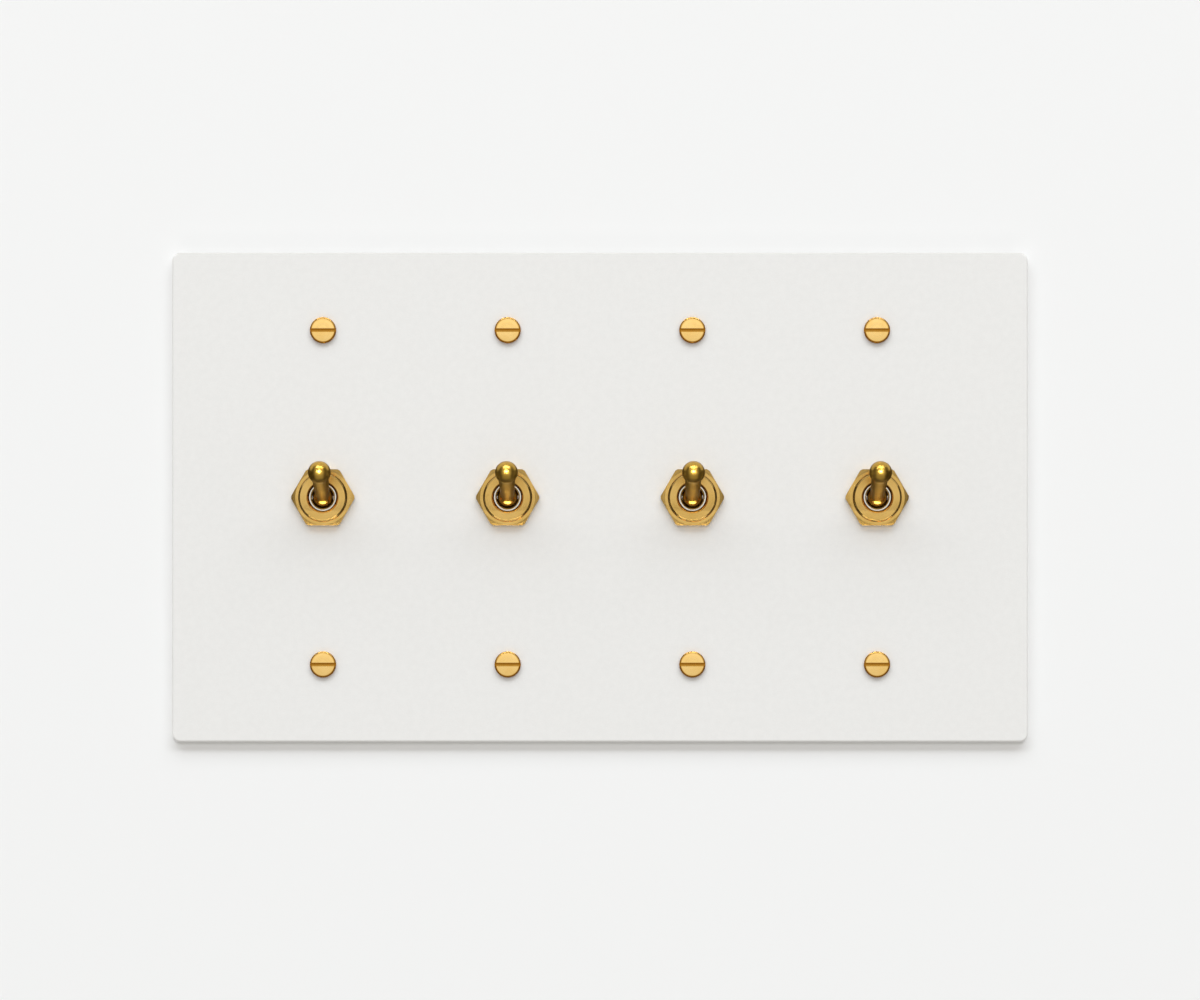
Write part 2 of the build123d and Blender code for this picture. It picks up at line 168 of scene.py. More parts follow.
def surface(material, tree, look, tone, grade, reliefs, paintedShade=(), grooves=None, toneReach=noiseReach):
    # The shader itself: two colours mixed by one pattern, darkened by the painted shade's colour where its masks say,
    # roughness by another pattern, reliefs of (height, depth) as bump, and highlights drawn out across the grooves
    share = rampMask(tree, [(tone, *toneReach, 0, look["toneSpread"])])
    colours = {6: linearColour(look["colour"]), 7: linearColour(look["colour2"])}
    mix = addNode(tree, "Mix", {"data_type": "RGBA", **colours}, {0: share})
    for mask in paintedShade:
        shade = {"data_type": "RGBA", "blend_type": "MULTIPLY", 7: linearColour(look["paintedShadeColour"])}
        mix = addNode(tree, "Mix", shade, {0: mask, 6: mix.outputs[2]})
    spread = look["roughnessSpread"]
    roughness = rampMask(tree, [(grade, *noiseReach, look["roughness"] - spread, look["roughness"] + spread)])
    normal = {}
    for height, depth in reliefs:
        bump = addNode(tree, "Bump", {"Strength": 1.0, "Distance": depth}, {"Height": height, **normal})
        normal = {"Normal": bump}
    settings = {"Metallic": look["metallic"]}
    if "lacquer" in look:
        settings.update({"Coat Weight": look["lacquer"], "Coat Roughness": look["roughness"]})
    links = {"Base Color": mix.outputs[2], "Roughness": roughness, **normal}
    if grooves:
        settings["Anisotropic"] = look["anisotropic"]
        links["Tangent"] = grooves
    shader = addNode(tree, "BsdfPrincipled", settings, links)
    addNode(tree, "OutputMaterial", links={"Surface": shader})
    return material


def turnedMetal(look, rows=False, tilt=0.0):
    # Bar turned in a lathe: fine rings round its axis that streak the highlights, and a slow drift of tone
    material, tree = newTree(look["name"])
    point = gangPoint(tree, rows)
    if tilt:
        turn = {"rotation_type": "X_AXIS", "Center": (0, pivotY, 0), "Angle": tilt}
        point = addNode(tree, "VectorRotate", turn, {"Vector": point})
    place = addNode(tree, "TexCoord").outputs["Object"]
    rings = latheRings(tree, point, look["ringSpacing"])
    cloud = addNode(tree, "TexNoise", {**cloudNoise, "Scale": 1 / look["cloudSize"]}, {"Vector": place})
    grain = addNode(tree, "TexNoise", {**cloudNoise, "Scale": 1 / look["grainSize"]}, {"Vector": place})
    reliefs = [(rings, look["ringDepth"]), (grain, look["grainDepth"])]
    # Painted shade: in the screws' slots and on their rims, or round a bushing's mouth
    paintedShade = []
    if rows:
        paintedShade = slotPaintedShade(tree, point, look)
    elif "mouthRadius" in look:
        paintedShade = mouthPaintedShade(tree, point, look)
    grooves = None
    if "anisotropic" in look:
        crossed = {"operation": "CROSS_PRODUCT", 1: (0, 1, 0)}
        grooves = addNode(tree, "VectorMath", crossed, {0: point})
        grooves = addNode(tree, "VectorMath", {"operation": "NORMALIZE"}, {0: grooves})
    return surface(material, tree, look, cloud, rings, reliefs, paintedShade, grooves)


def rolledMetal(look):
    # Sheet or strip: straight rolling lines up and down it, and a faint cloud of tarnish
    material, tree = newTree(look["name"])
    place = addNode(tree, "TexCoord").outputs["Object"]
    drawn = addNode(tree, "VectorMath", {"operation": "MULTIPLY", 1: (1, 1, look["lineDraw"])}, {0: place})
    lines = addNode(tree, "TexNoise", {**cloudNoise, "Scale": 1 / look["lineSpacing"]}, {"Vector": drawn})
    cloud = addNode(tree, "TexNoise", {**cloudNoise, "Scale": 1 / look["cloudSize"]}, {"Vector": place})
    return surface(material, tree, look, cloud, lines, [(lines, look["lineDepth"])])


def coatedSurface(look):
    # Paint, plating or moulded resin: a soft orange peel, a finer grit in it, and a faint mottle of tone
    material, tree = newTree(look["name"])
    place = addNode(tree, "TexCoord").outputs["Object"]
    peel = addNode(tree, "TexNoise", {**cloudNoise, "Scale": 1 / look["peelSize"]}, {"Vector": place})
    grit = addNode(tree, "TexNoise", {**cloudNoise, "Scale": 1 / look["gritSize"], "Detail": 3.0}, {"Vector": place})
    cloud = addNode(tree, "TexNoise", {**cloudNoise, "Scale": 1 / look["cloudSize"], "Detail": 4.0}, {"Vector": place})
    mottle = addNode(tree, "Mix", {"data_type": "FLOAT", 0: 0.5}, {2: grit, 3: cloud})
    reliefs = [(peel, look["peelDepth"]), (grit, look["gritDepth"])]
    # Painted shade on the upper edge, above the height that the look gives
    paintedShade = []
    if "paintedShadeHeight" in look:
        height = addNode(tree, "SeparateXYZ", links={0: place}).outputs["Z"]
        paintedShade = [rampMask(tree, [(height, look["paintedShadeHeight"] - look["paintedShadeBlur"], look["paintedShadeHeight"], 0, 1)])]
    mottleReach = (0.4, 0.6)  # two noises mixed stay nearer to their middle
    return surface(material, tree, look, mottle, grit, reliefs, paintedShade, toneReach=mottleReach)


# White polyester powder coat: matt, with a mottle finer than a millimetre. The real grit is about 0.05 mm, and it is
# drawn coarser here so that it shows. The upper edge has a little painted shade, against the light that falls on it.
powderCoat = {
    "name": "white_powder_coat", "colour": "#ECEBE9", "colour2": "#E9E8E6", "toneSpread": 1.0, "metallic": 0.0,
    "roughness": 0.6, "roughnessSpread": 0.06, "peelSize": 1.2 * mm, "peelDepth": 0.005 * mm,
    "gritSize": 0.3 * mm, "gritDepth": 0.004 * mm, "cloudSize": 1.6 * mm,
    "paintedShadeColour": "#E9E8E6", "paintedShadeHeight": plateHigh.z - 0.2 * mm, "paintedShadeBlur": 0.4 * mm,
}
# Free-cutting brass, turned and left satin: warm yellow with soft, streaked highlights, and painted shade round the
# mouth. Feed marks are near 0.1 mm, drawn wider so that they show. The painted shade is fainter at the mouth's foot,
# where light from above falls in, up to footTop of its radius.
nutBrass = {
    "name": "satin_turned_brass", "colour": "#DAB469", "colour2": "#CEA75A", "toneSpread": 1.0, "metallic": 1.0,
    "roughness": 0.22, "roughnessSpread": 0.05, "anisotropic": 0.3, "ringSpacing": 0.4 * mm, "ringDepth": 0.008 * mm,
    "grainSize": 0.5 * mm, "grainDepth": 0.004 * mm, "cloudSize": 5 * mm,
    "paintedShadeColour": "#8A6A3A", "paintedShadeShare": 0.9, "paintedShadeBlur": 0.15 * mm,
    "mouthRadius": 3.9 * mm, "footTop": -0.5, "footShare": 0.3,
}
# The levers' brass, turned, tumbled and lacquered: browner than the nuts, with blurred highlights
leverBrass = {
    "name": "tumbled_lacquered_brass", "colour": "#CDA54A", "colour2": "#BE953B", "toneSpread": 1.0, "metallic": 1.0,
    "roughness": 0.31, "roughnessSpread": 0.03, "ringSpacing": 0.5 * mm, "ringDepth": 0.002 * mm,
    "grainSize": 0.6 * mm, "grainDepth": 0.003 * mm, "cloudSize": 4 * mm, "lacquer": 0.12,
}
# Polished brass of the screws: lighter and sharper, with faint facing marks, and painted shade in the slots, most in
# their upper part where the upper wall shadows them, and on the rims, least at their top. Where that begins and is
# full: at the slot's walls, behind the head's front, up from the slot's middle, inwards from the rim, and from top to
# foot of the rim in shares of its radius.
screwBrass = {
    "name": "polished_brass", "colour": "#FAD488", "colour2": "#F3C876", "toneSpread": 1.0, "metallic": 1.0,
    "roughness": 0.25, "roughnessSpread": 0.04, "ringSpacing": 0.45 * mm, "ringDepth": 0.002 * mm,
    "grainSize": 0.4 * mm, "grainDepth": 0.001 * mm, "cloudSize": 4 * mm, "paintedShadeColour": "#C4AC6C", "paintedShadeShare": 0.95,
    "slotWall": (0.51 * mm, 0.46 * mm), "slotBehind": (0.15 * mm, 0.5 * mm), "slotUp": (-0.2 * mm, 0.05 * mm),
    "rimInwards": (0.55 * mm, 0.35 * mm), "rimTop": 0.8, "rimFoot": -0.3, "rimTopShare": 0.45,
}
# Nickel plate on the ring in the mouth: pale, bright and nearly smooth
nickelPlate = {
    "name": "bright_nickel_plate", "colour": "#E5E1D6", "colour2": "#D8D2C4", "toneSpread": 1.0, "metallic": 1.0,
    "roughness": 0.2, "roughnessSpread": 0.04, "ringSpacing": 0.3 * mm, "ringDepth": 0.003 * mm,
    "grainSize": 0.4 * mm, "grainDepth": 0.001 * mm, "cloudSize": 3 * mm,
}
# Ground steel of the cross pins: grey, with grinding lines round it
groundSteel = {
    "name": "ground_steel", "colour": "#B9B9B8", "colour2": "#A9A8A5", "toneSpread": 1.0, "metallic": 1.0,
    "roughness": 0.3, "roughnessSpread": 0.08, "ringSpacing": 0.3 * mm, "ringDepth": 0.003 * mm,
    "grainSize": 0.3 * mm, "grainDepth": 0.002 * mm, "cloudSize": 3 * mm,
}
# Bright zinc on pressed steel: bluish grey with a fine crystalline bloom
zincPlate = {
    "name": "zinc_plated_steel", "colour": "#C6C9CC", "colour2": "#AEB1B2", "toneSpread": 0.9, "metallic": 1.0,
    "roughness": 0.34, "roughnessSpread": 0.1, "peelSize": 1.5 * mm, "peelDepth": 0.01 * mm,
    "gritSize": 0.25 * mm, "gritDepth": 0.004 * mm, "cloudSize": 6 * mm,
}
# Compression-moulded phenolic: nearly black brown, semi-matt, with wood-flour specks
phenolic = {
    "name": "moulded_phenolic", "colour": "#3A2F2A", "colour2": "#2A2320", "toneSpread": 1.0, "metallic": 0.0,
    "roughness": 0.42, "roughnessSpread": 0.1, "peelSize": 2.5 * mm, "peelDepth": 0.02 * mm,
    "gritSize": 0.3 * mm, "gritDepth": 0.006 * mm, "cloudSize": 2 * mm,
}
# Vulcanised fibre sheet: brick red, matt, with a papery drift
vulcanisedFibre = {
    "name": "vulcanised_fibre", "colour": "#9A4B36", "colour2": "#83402F", "toneSpread": 1.0, "metallic": 0.0,
    "roughness": 0.7, "roughnessSpread": 0.08, "peelSize": 1.0 * mm, "peelDepth": 0.01 * mm,
    "gritSize": 0.2 * mm, "gritDepth": 0.006 * mm, "cloudSize": 1.5 * mm,
}
# Natural nylon of the carriers: cream, slightly glossy, with a soft flow texture
naturalNylon = {
    "name": "moulded_nylon", "colour": "#EEEBE0", "colour2": "#E2DDCD", "toneSpread": 1.0, "metallic": 0.0,
    "roughness": 0.35, "roughnessSpread": 0.08, "peelSize": 2.0 * mm, "peelDepth": 0.01 * mm,
    "gritSize": 0.3 * mm, "gritDepth": 0.002 * mm, "cloudSize": 3 * mm,
}
# Rolled copper of the bridges: salmon, with rolling lines
rolledCopper = {
    "name": "rolled_copper", "colour": "#D99070", "colour2": "#B96F50", "toneSpread": 0.8, "metallic": 1.0,
    "roughness": 0.3, "roughnessSpread": 0.08, "lineSpacing": 0.15 * mm, "lineDraw": 0.06, "lineDepth": 0.004 * mm,
    "cloudSize": 3 * mm,
}
# Phosphor bronze of the leaf springs: reddish gold, hard rolled and shiny
rolledBronze = {
    "name": "rolled_phosphor_bronze", "colour": "#CDA070", "colour2": "#B98A5A", "toneSpread": 0.8, "metallic": 1.0,
    "roughness": 0.25, "roughnessSpread": 0.06, "lineSpacing": 0.12 * mm, "lineDraw": 0.06, "lineDepth": 0.003 * mm,
    "cloudSize": 3 * mm,
}
# Brass strip of the terminals: pale yellow, with rolling lines and a little tarnish
stripBrass = {
    "name": "rolled_brass_strip", "colour": "#DDC383", "colour2": "#BFA05C", "toneSpread": 0.8, "metallic": 1.0,
    "roughness": 0.32, "roughnessSpread": 0.08, "lineSpacing": 0.15 * mm, "lineDraw": 0.06, "lineDepth": 0.004 * mm,
    "cloudSize": 4 * mm,
}
# Terminal screws: headed brass, bright and slightly pitted
headedBrass = {
    "name": "headed_brass_screw", "colour": "#DDBF78", "colour2": "#C6A45A", "toneSpread": 0.8, "metallic": 1.0,
    "roughness": 0.3, "roughnessSpread": 0.08, "peelSize": 0.8 * mm, "peelDepth": 0.008 * mm,
    "gritSize": 0.25 * mm, "gritDepth": 0.003 * mm, "cloudSize": 3 * mm,
}

turnedFinish = turnedMetal(nutBrass)
screwFinish = turnedMetal(screwBrass, rows=True)
zincFinish = coatedSurface(zincPlate)
stripFinish = rolledMetal(stripBrass)
nodeFinish = {
    "face_plate": coatedSurface(powderCoat),
    "box_screws": screwFinish,
    "lock_nuts": turnedFinish,
    "bushing": turnedFinish,
    "lever": turnedMetal(leverBrass, tilt=leverTilt),
    "seat_ring": turnedMetal(nickelPlate),
    "pivot_pin": turnedMetal(groundSteel),
    "back_nuts": zincFinish,
    "lock_washers": zincFinish,
    "frame": zincFinish,
    "housing": coatedSurface(phenolic),
    "insulator": coatedSurface(vulcanisedFibre),
    "slider": coatedSurface(naturalNylon),
    "contact_bridge": rolledMetal(rolledCopper),
    "contact_spring": rolledMetal(rolledBronze),
    "common_terminal": stripFinish,
    "upper_terminal": stripFinish,
    "lower_terminal": stripFinish,
    "terminal_screws": coatedSurface(headedBrass),
}
for name, node in nodes.items():
    kind = name if name in nodeFinish else name.rsplit("_", 1)[0]
    node.data.materials.clear()
    node.data.materials.append(nodeFinish[kind])
print("materials on", len(nodes), "nodes")


def threadGroove(y, turn, thread):
    # Depth of the groove at y along the axis and at this share of a turn: a cosine with flattened crests, one wave for
    # each pitch along the axis and one for each turn, which fades out over half a pitch at both ends
    phase = (y - thread["start"]) / thread["pitch"] - turn
    waveHeight = 0.6  # over a half, so that clipping flattens crests and roots
    wave = np.clip(0.5 - waveHeight * np.cos(2 * pi * phase), 0.0, 1.0)
    fade = np.clip(np.minimum(y - thread["start"], thread["end"] - y) / (thread["pitch"] / 2), 0.0, 1.0)
    return thread["depth"] * wave * fade


def closedMesh(name, points, faces):
    # A mesh from points in mm. Those that coincide become one, faces with no area go, and the rest face outwards.
    mesh = bpy.data.meshes.new(name)
    mesh.from_pydata((points * mm).tolist(), [], faces)
    work = bmesh.new()
    work.from_mesh(mesh)
    bmesh.ops.remove_doubles(work, verts=work.verts, dist=0.0005 * mm)
    bmesh.ops.recalc_face_normals(work, faces=work.faces)
    work.to_mesh(mesh)
    work.free()
    return mesh


def latheMesh(name, front, back, thread, columns, closed):
    # The profile is the points (y, r) in front of the thread, the thread's own rows, and the points behind it, in mm.
    # It is carried round the Y axis: x = r sin a, z = r cos a, with the thread's groove taken off r. A closed profile
    # makes a ring, and an open one starts and ends on the axis.
    rows = int((thread["end"] - thread["start"]) / thread["pitch"] * thread["rowsPerTurn"])
    along = np.linspace(thread["start"], thread["end"], rows)
    threaded = np.stack([along, np.full(rows, thread["radius"])], axis=1)
    profile = np.concatenate([front, threaded, back])
    grooved = np.concatenate([np.zeros(len(front)), np.ones(rows), np.zeros(len(back))])[:, None]
    turn = np.arange(columns) / columns
    y, r = profile[:, :1], profile[:, 1:]
    radius = r - grooved * threadGroove(y, turn, thread)
    grid = np.stack([radius * np.sin(2 * pi * turn), y + 0 * radius, radius * np.cos(2 * pi * turn)], axis=2)
    count = len(profile)
    row, column = np.meshgrid(np.arange(count if closed else count - 1), np.arange(columns), indexing="ij")
    nextRow, nextColumn = (row + 1) % count, (column + 1) % columns
    corners = [row * columns + column, row * columns + nextColumn]
    corners += [nextRow * columns + nextColumn, nextRow * columns + column]
    return closedMesh(name, grid.reshape(-1, 3), np.stack(corners, axis=2).reshape(-1, 4).tolist())


def prismMesh(name, outline, half):
    # A flat outline of points (y, z), in mm, drawn along X from -half to half
    count = len(outline)
    ends = [np.column_stack([np.full(count, x), outline]) for x in (-half, half)]
    point = np.arange(count)
    following = (point + 1) % count
    sides = np.stack([point, following, count + following, count + point], axis=1).tolist()
    return closedMesh(name, np.concatenate(ends), [*sides, point[::-1].tolist(), (count + point).tolist()])


def cutMesh(mesh, cutter):
    # The mesh without what the cutter covers
    pair = [bpy.data.objects.new(part.name, part) for part in (mesh, cutter)]
    for item in pair:
        bpy.context.scene.collection.objects.link(item)
    cut = pair[0].modifiers.new("cut", "BOOLEAN")
    cut.operation = "DIFFERENCE"
    cut.solver = "EXACT"
    cut.object = pair[1]
    made = bpy.data.meshes.new_from_object(pair[0].evaluated_get(bpy.context.evaluated_depsgraph_get()))
    for item in pair:
        bpy.data.objects.remove(item)
    return made


sharpAngle = radians(32)  # edges with a wider turn than this stay sharp


def placeCopy(mesh, name, place, finish, node):
    # A copy of the mesh at its place, in its finish, in the stead of the CAD node
    own = mesh.copy()
    own.transform(Matrix.Translation(place))
    own.materials.clear()
    own.materials.append(finish)
    own.polygons.foreach_set("use_smooth", np.ones(len(own.polygons), bool))
    own.set_sharp_from_angle(angle=sharpAngle)
    piece = bpy.data.objects.new(name, own)
    bpy.context.scene.collection.objects.link(piece)
    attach(piece, "switch_plate")
    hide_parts(node)


# Threaded bushings of the switches, in mm: the solid's own sizes, with the 32-to-the-inch thread drawn in full
bushing = {
    "threadPitch": 25.4 / 32, "threadDepth": 0.42, "rowsPerTurn": 14, "columns": 96,
    "frontChamfer": 0.36, "mouthRadius": 3.7, "mouthChamfer": 0.12, "ringBack": 1.8, "socketRadius": 2.75,
    "socketBack": 4.0, "spigotRadius": 5.392, "boreRadius": 4.792, "stakeWidth": 0.5, "stakeHeight": 0.4,
    "frameThickness": 1.0, "pinHoleRadius": 0.75, "pinHoleSteps": 24,
}


def bushingMesh(look):
    # The profile runs out of the ball's socket over the mouth and the front, along the thread, over the spigot that
    # holds the frame and is staked outwards at its end, and back up the bore. A hole across it takes the pin.
    low, high = (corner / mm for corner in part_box("bushing_1"))
    front, back, radius = low.y, high.y, (high.x - low.x) / 2
    pinch = back - look["stakeHeight"]
    shoulder = pinch - look["frameThickness"]
    ringBack = front + look["ringBack"]
    inFront = [
        (ringBack, look["socketRadius"]), (ringBack, look["mouthRadius"]),
        (front + look["mouthChamfer"], look["mouthRadius"]), (front, look["mouthRadius"] + look["mouthChamfer"]),
        (front, radius - look["frontChamfer"]),
    ]
    behind = [
        (shoulder, look["spigotRadius"]), (pinch, look["spigotRadius"]),
        (pinch, look["spigotRadius"] + look["stakeWidth"]), (back, look["spigotRadius"]),
        (back, look["boreRadius"]), (front + look["socketBack"], look["socketRadius"]),
    ]
    thread = {
        "start": front + look["frontChamfer"], "end": shoulder, "radius": radius,
        "pitch": look["threadPitch"], "depth": look["threadDepth"], "rowsPerTurn": look["rowsPerTurn"],
    }
    mesh = latheMesh("bushing", inFront, behind, thread, look["columns"], closed=True)
    angle = np.linspace(0, 2 * pi, look["pinHoleSteps"], endpoint=False)
    circle = look["pinHoleRadius"] * np.stack([np.cos(angle), np.sin(angle)], axis=1)
    return cutMesh(mesh, prismMesh("pin_hole", circle + (pivotY / mm, 0), 2 * radius))


# Box screws, in mm: a cheese head with one slot, a plain shank through the plate and a 32-to-the-inch thread
boxScrew = {
    "threadPitch": 25.4 / 32, "threadDepth": 0.42, "rowsPerTurn": 10, "columns": 40,
    "threadRadius": 1.75, "shankRadius": 1.5, "threadStart": 0.3, "tipChamfer": 0.4,
    "slotWidth": 0.9, "slotDepth": 0.75, "slotClearance": 1.0, "faceSteps": 5, "rimSteps": 5,
}


def boxScrewMesh(look):
    # The profile runs from the axis over the head, whose front falls by the dome as the square of the radius, round its
    # rim in a quarter circle, and along shank and thread to the tip. The slot is cut across the head.
    headRadius, rimRound = screwHead["diameter"] / 2 / mm, screwHead["round"] / mm
    front, tip = screwLow.y / mm, screwHigh.y / mm
    headBack = front + screwHead["height"] / mm
    face = np.linspace(0, headRadius - rimRound, look["faceSteps"])
    domed = np.stack([front + screwHead["dome"] / mm * (face / headRadius) ** 2, face], axis=1)
    angle = np.linspace(0, pi / 2, look["rimSteps"])[1:]
    rim = rimRound * (1 - np.stack([np.cos(angle), np.sin(angle)], axis=1)) * (1, -1) + (domed[-1, 0], headRadius)
    sides = [(headBack, headRadius), (headBack, look["shankRadius"]), (look["threadStart"], look["shankRadius"])]
    thread = {
        "start": look["threadStart"], "end": tip - look["tipChamfer"], "radius": look["threadRadius"],
        "pitch": look["threadPitch"], "depth": look["threadDepth"], "rowsPerTurn": look["rowsPerTurn"],
    }
    behind = [(tip, look["threadRadius"] - look["tipChamfer"]), (tip, 0.0)]
    inFront = np.concatenate([domed, rim, sides])
    mesh = latheMesh("box_screw", inFront, behind, thread, look["columns"], closed=False)
    half, floor, clear = look["slotWidth"] / 2, front + look["slotDepth"], front - look["slotClearance"]
    slot = [(clear, -half), (floor, -half), (floor, half), (clear, half)]
    return cutMesh(mesh, prismMesh("slot", slot, 2 * headRadius))


threadedBushing = bushingMesh(bushing)
for i, x in enumerate(gangX, start=1):
    placeCopy(threadedBushing, f"threaded_bushing_{i}", (x, 0, 0), turnedFinish, f"bushing_{i}")
print("bushings threaded:", len(threadedBushing.polygons), "faces each")

threadedScrew = boxScrewMesh(boxScrew)
for row, z in zip(("lower", "upper"), screwZ):
    for i, x in enumerate(gangX, start=1):
        placeCopy(threadedScrew, f"box_screw_{row}_{i}", (x, 0, z), screwFinish, "box_screws")
print("box screws threaded:", len(threadedScrew.polygons), "faces each")


# The photograph's frame: its width on the plate's front, the camera's distance, and its height beside the centre
photo = {"width": 0.2993, "distance": 1.45, "height": -0.00067, "sensor": 36.0}
cameraData = bpy.data.cameras.new("camera")
cameraData.sensor_width = photo["sensor"]
cameraData.lens = photo["sensor"] * photo["distance"] / photo["width"]
camera = bpy.data.objects.new("camera", cameraData)
bpy.context.scene.collection.objects.link(camera)
camera.location = (0, plateLow.y - photo["distance"], photo["height"])
camera.rotation_euler = (radians(90), 0, 0)
bpy.context.scene.camera = camera


def frontOnly(tree, shown, holes=None):
    # The shader on the front of a face, and nothing on its back, nor where there are holes
    away = addNode(tree, "NewGeometry").outputs["Backfacing"]
    if holes:
        away = addNode(tree, "Math", {"operation": "MAXIMUM"}, {0: away, 1: holes})
    return addNode(tree, "MixShader", links={0: away, 1: shown, 2: addNode(tree, "BsdfTransparent")})


def addStage(name, points, faces, paint):
    # A mesh of the surroundings, which isn't part of the object
    mesh = bpy.data.meshes.new(name)
    mesh.from_pydata(points, [], faces)
    mesh.materials.append(paint)
    item = bpy.data.objects.new(name, mesh)
    bpy.context.scene.collection.objects.link(item)
    return item


# White painted wall. It is only there from the front, so that views from behind show what a wall box would hide. Just
# above the plate it is a little greyer, against the light that the plate's upper edge throws on it: over the whole
# width but for both ends, and fading upwards. Behind the plate it has a hole, a hair smaller than the plate, so that
# the plate's back is lit.
wall = {
    "size": 6.0, "colour": "#F5F5F5", "holeCorner": 2.0 * mm, "holeHidden": 0.1 * mm, "cornerSteps": 8,
    "edgeGrey": 0.08, "edgeAbove": 7 * mm, "edgeBelow": 1 * mm, "endOutside": 1 * mm, "endInside": 5 * mm,
}
# The hole's outline is four arcs, each point moved from its corner's centre by the radius at its angle. The outer
# points are the same, stretched from the plate's size to the wall's.
plateHalf = np.array([plateHigh.x, plateHigh.z])
turn = np.linspace(0, pi / 2, wall["cornerSteps"])[None, :] + pi / 2 * np.arange(4)[:, None]
signs = np.array([(1, 1), (-1, 1), (-1, -1), (1, -1)])[:, None, :]
arcs = np.stack([np.cos(turn), np.sin(turn)], axis=2) * (wall["holeCorner"] - wall["holeHidden"])
hole = (signs * (plateHalf - wall["holeCorner"]) + arcs).reshape(-1, 2)
rim = np.concatenate([hole, hole / plateHalf * wall["size"] / 2])
inner = np.arange(len(hole))
following = (inner + 1) % len(hole)
faces = np.stack([inner, len(hole) + inner, len(hole) + following, following], axis=1)

wallPaint, tree = newTree("white_wall_paint")
place = addNode(tree, "SeparateXYZ", links={0: addNode(tree, "TexCoord").outputs["Object"]}).outputs
fromMiddle = addNode(tree, "Math", {"operation": "ABSOLUTE"}, {0: place["X"]})
upperHalf = addNode(tree, "Math", {"operation": "GREATER_THAN", 1: 0.0}, {0: place["Z"]})
grey = rampMask(tree, [
    (place["Z"], plateHigh.z + wall["edgeAbove"], plateHigh.z - wall["edgeBelow"], 0, wall["edgeGrey"]),
    (fromMiddle, plateHigh.x + wall["endOutside"], plateHigh.x - wall["endInside"], 0, 1),
], shape="SMOOTHSTEP")
grey = addNode(tree, "Math", {"operation": "MULTIPLY"}, {0: grey, 1: upperHalf})
tint = addNode(tree, "Mix", {"data_type": "RGBA", 6: linearColour(wall["colour"]), 7: (0, 0, 0, 1)}, {0: grey})
paint = addNode(tree, "BsdfDiffuse", links={"Color": tint.outputs[2]})
addNode(tree, "OutputMaterial", links={"Surface": frontOnly(tree, paint)})
addStage("wall", np.insert(rim, 1, 0, axis=1).tolist(), faces.tolist(), wallPaint)


def directionTo(azimuth, elevation):
    # Azimuth 0 is straight in front of the plate, and elevation is the angle above that
    a, e = radians(azimuth), radians(elevation)
    return Vector((sin(a) * cos(e), -cos(a) * cos(e), sin(e)))


def addLamp(name, look):
    # A flat softbox that faces the plate's centre. Its power is what lights the wall by that share of white.
    lamp = bpy.data.lights.new(name, "AREA")
    lamp.shape = "RECTANGLE"
    lamp.size, lamp.size_y = look["width"], look["height"]
    lamp.energy = look["share"] * (pi * look["distance"]) ** 2 / cos(radians(look["elevation"]))
    lamp.color = linearColour(look["colour"])[:3]
    item = bpy.data.objects.new(name, lamp)
    towards = directionTo(look["azimuth"], look["elevation"])
    item.location = towards * look["distance"]
    item.rotation_euler = towards.to_track_quat("Z", "Y").to_euler()
    item.visible_camera = False
    item.visible_glossy = look["mirrored"]
    bpy.context.scene.collection.objects.link(item)


lamps = {
    # A wide strip overhead, whose edge draws the shadow under the plate
    "strip_low": {"azimuth": 0, "elevation": 43, "distance": 8.0, "width": 12.8, "height": 1.76, "share": 0.37,
                  "colour": "#F5FAFF", "mirrored": False},
    # A softer one above it, for the outer part of the shadow
    "strip_high": {"azimuth": 0, "elevation": 59, "distance": 8.0, "width": 9.6, "height": 2.56, "share": 0.16,
                   "colour": "#F5FAFF", "mirrored": False},
    # A box above the lens, which fills the shadows
    "lens_box": {"azimuth": 0, "elevation": 15, "distance": 4.0, "width": 0.8, "height": 0.7, "share": 0.13,
                 "colour": "#FFFFFF", "mirrored": False},
    # Behind the wall, for views of the switches' backs
    "rear_box": {"azimuth": 150, "elevation": 40, "distance": 1.5, "width": 0.8, "height": 0.8, "share": 0.5,
                 "colour": "#FFFFFF", "mirrored": True},
}
for name, look in lamps.items():
    addLamp(name, look)


def addCard(name, look, middle, across, rise):
    # A flat card that only the metal sees, lit or dark. It reaches from its middle by across and rise both ways, and
    # its front is where across x rise points. With one side it is clear from behind. A lit one can be dimmer at its
    # foot, and a dark one can have a window at each switch.
    cardPaint, tree = newTree(name)
    colour = linearColour(look["colour"])
    if "strength" in look:
        shown = addNode(tree, "Emission", {"Color": colour, "Strength": look["strength"]})
    else:
        shown = addNode(tree, "BsdfDiffuse", {"Color": colour})
    if "footStrength" in look:
        height = addNode(tree, "SeparateXYZ", links={0: addNode(tree, "TexCoord").outputs["Object"]}).outputs["Z"]
        ramp = (height, look["rampLow"], look["rampHigh"], look["footStrength"], look["strength"])
        tree.links.new(rampMask(tree, [ramp]).outputs[0], shown.inputs["Strength"])
    holes = None
    if "window" in look:
        fromAxis = axisDistance(tree, gangPoint(tree))
        holes = addNode(tree, "Math", {"operation": "LESS_THAN", 1: look["window"]}, {0: fromAxis})
    if look["sides"] == 1:
        shown = frontOnly(tree, shown, holes)
    addNode(tree, "OutputMaterial", links={"Surface": shown})
    corners = [middle + s * across + h * rise for s, h in ((-1, -1), (1, -1), (1, 1), (-1, 1))]
    card = addStage(name, corners, [(0, 1, 2, 3)], cardPaint)
    for ray in ("camera", "diffuse", "transmission", "volume_scatter", "shadow"):
        setattr(card, "visible_" + ray, False)


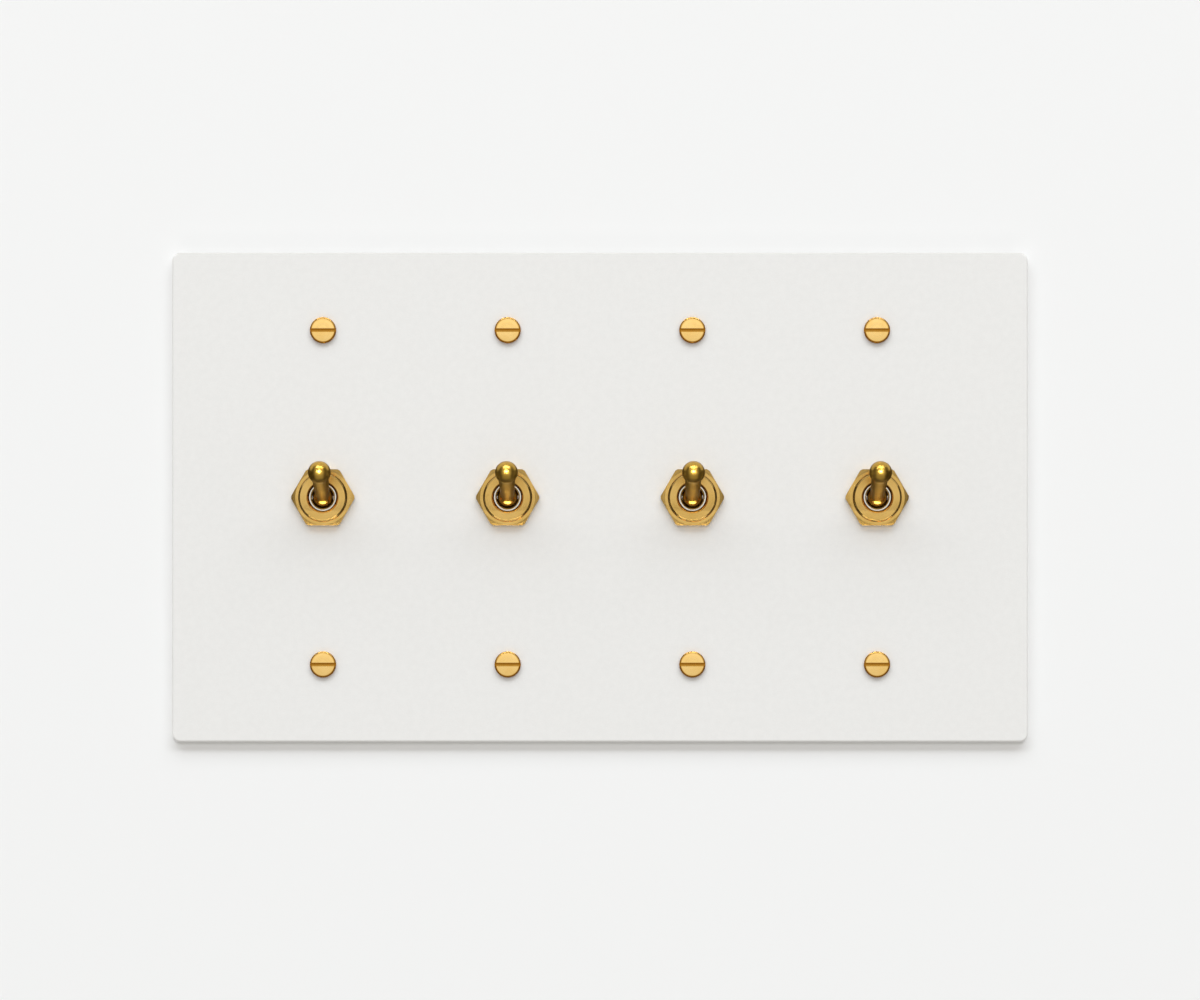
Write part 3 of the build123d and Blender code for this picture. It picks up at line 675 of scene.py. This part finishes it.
# Dark cards at both sides give the balls their dark flanks. The one in front of the plate darkens what the levers
# mirror of it, with a window at each nut, and lets out what nuts and screws mirror.
sideCard = {"x": 0.8, "y": -0.355, "halfDepth": 0.305, "halfHeight": 0.9, "colour": "#3E3A33", "sides": 1}
for name, side in (("left_card", -1), ("right_card", 1)):
    middle = Vector((side * sideCard["x"], sideCard["y"], 0))
    outwards = Vector((0, -sideCard["halfDepth"], 0))
    addCard(name, sideCard, middle, Vector((0, 0, -side * sideCard["halfHeight"])), outwards)
flag = {"y": -0.007, "z": -0.117, "halfWidth": 0.3, "halfHeight": 0.133, "colour": "#46391C", "window": 4.0 * mm,
        "sides": 1}
middle = Vector((0, flag["y"], flag["z"]))
addCard("front_flag", flag, middle, Vector((flag["halfWidth"], 0, 0)), Vector((0, 0, flag["halfHeight"])))

# Lit cards: a plain one round the lens, which the flat faces mirror, and a bright thin one overhead
litCards = {
    "front_card": {"elevation": 0, "distance": 1.5, "halfWidth": 0.85, "halfHeight": 0.62, "colour": "#FFFFFF",
                   "strength": 1.22, "footStrength": 0.86, "rampLow": -0.16, "rampHigh": 0.28, "sides": 2},
    "top_card": {"elevation": 58, "distance": 2.0, "halfWidth": 1.0, "halfHeight": 0.12, "colour": "#FFFFFF",
                 "strength": 22.0, "sides": 2},
}
for name, look in litCards.items():
    middle = directionTo(0, look["elevation"]) * look["distance"]
    rise = directionTo(0, look["elevation"] + 90) * look["halfHeight"]
    addCard(name, look, middle, Vector((look["halfWidth"], 0, 0)), rise)

# Small cards by each switch, from (y, z) to (y, z) in mm: one before the tip ball for the glint in its middle, one
# before the foot for the lower front of the ball in the mouth, and dark ones that hide the latter from the tip ball,
# with the lever up or down
smallCards = {
    "ball_glint": {"halfWidth": 1.5, "from": (-30.4, 6.3), "to": (-30.4, 7.9), "colour": "#FFFFFF", "strength": 36.0,
                   "sides": 2},
    "foot_card": {"halfWidth": 7.5, "from": (-16.5, -16.0), "to": (-7.0, -10.0), "colour": "#FFF6E6", "strength": 11.0,
                  "sides": 1},
    "foot_shade": {"halfWidth": 12.0, "from": (-27.0, -3.5), "to": (-12.0, -3.5), "colour": "#3E3A33", "sides": 1},
    "down_shade": {"halfWidth": 12.0, "from": (-17.5, -18.0), "to": (-17.5, -3.5), "colour": "#3E3A33", "sides": 1},
}
for name, look in smallCards.items():
    start, end = (Vector((0, *look[key])) * mm for key in ("from", "to"))
    for i, x in enumerate(gangX, start=1):
        middle = Vector((x, 0, 0)) + (start + end) / 2
        addCard(f"{name}_{i}", look, middle, Vector((look["halfWidth"] * mm, 0, 0)), (end - start) / 2)

# Dark cards between the switches and at both ends keep the small cards of one switch out of the next one's ball
between = {"y": -15.1 * mm, "z": -9 * mm, "halfDepth": 11.9 * mm, "halfHeight": 21 * mm, "colour": "#57523F",
           "sides": 2}
for i in range(gangCount + 1):
    middle = Vector((gangX[0] + (i - 0.5) * gangPitch, between["y"], between["z"]))
    outwards = Vector((0, -between["halfDepth"], 0))
    addCard(f"between_{i + 1}", between, middle, outwards, Vector((0, 0, between["halfHeight"])))

# The room: an even grey glow on the pieces, and a pale surround where the camera or the metal sees it
room = {"ambient": 0.5, "glow": "#FFFCF6", "surround": "#F5F5F5", "mirrored": "#B2B0AC"}
world = bpy.data.worlds.new("room")
bpy.context.scene.world = world
world.use_nodes = True
tree = world.node_tree
tree.nodes.clear()
rays = addNode(tree, "LightPath").outputs
seen = addNode(tree, "Math", {"operation": "MAXIMUM"}, {0: rays["Is Camera Ray"], 1: rays["Is Transmission Ray"]})
glow = addNode(tree, "Background", {"Color": linearColour(room["glow"]), "Strength": room["ambient"]})
mirrored = addNode(tree, "Background", {"Color": linearColour(room["mirrored"]), "Strength": 1.0})
surround = addNode(tree, "Background", {"Color": linearColour(room["surround"]), "Strength": 1.0})
unseen = addNode(tree, "MixShader", links={0: rays["Is Glossy Ray"], 1: glow, 2: mirrored})
addNode(tree, "OutputWorld", links={"Surface": addNode(tree, "MixShader", links={0: seen, 1: unseen, 2: surround})})

bpy.context.scene.view_settings.view_transform = "Standard"
print("stage, lamps and camera made")
